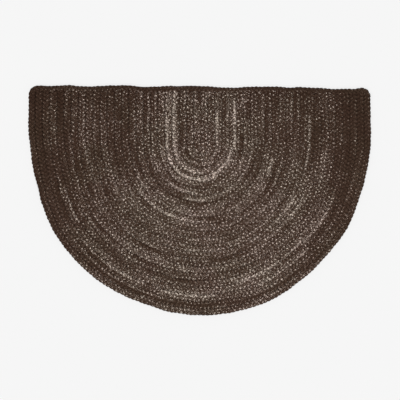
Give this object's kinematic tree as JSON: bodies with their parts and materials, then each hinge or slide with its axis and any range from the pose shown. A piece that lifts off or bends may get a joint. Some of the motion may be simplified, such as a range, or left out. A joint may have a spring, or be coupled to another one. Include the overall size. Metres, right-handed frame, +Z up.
{
  "type": "half-round braided doormat",
  "caption": "Half-round flat doormat of dark brown braided jute, coiled and sewn in rows, with a braid sewn round its whole edge.",
  "frame": {"origin": "on the floor below the middle of the mat's outline", "axes": "+Z up, +Y from the round side to the straight edge, +X to the right along the straight edge"},
  "size_m": [0.7616, 0.5122, 0.009],
  "materials": {
    "rows_jute": "dull braided jute in dark brown with pale fibre flecks",
    "edge_jute": "dull braided jute in darker brown"
  },
  "bodies": {
    "root": {"sewn_rows": "rows_jute", "edge_braid": "edge_jute"}
  },
  "joints": []
}
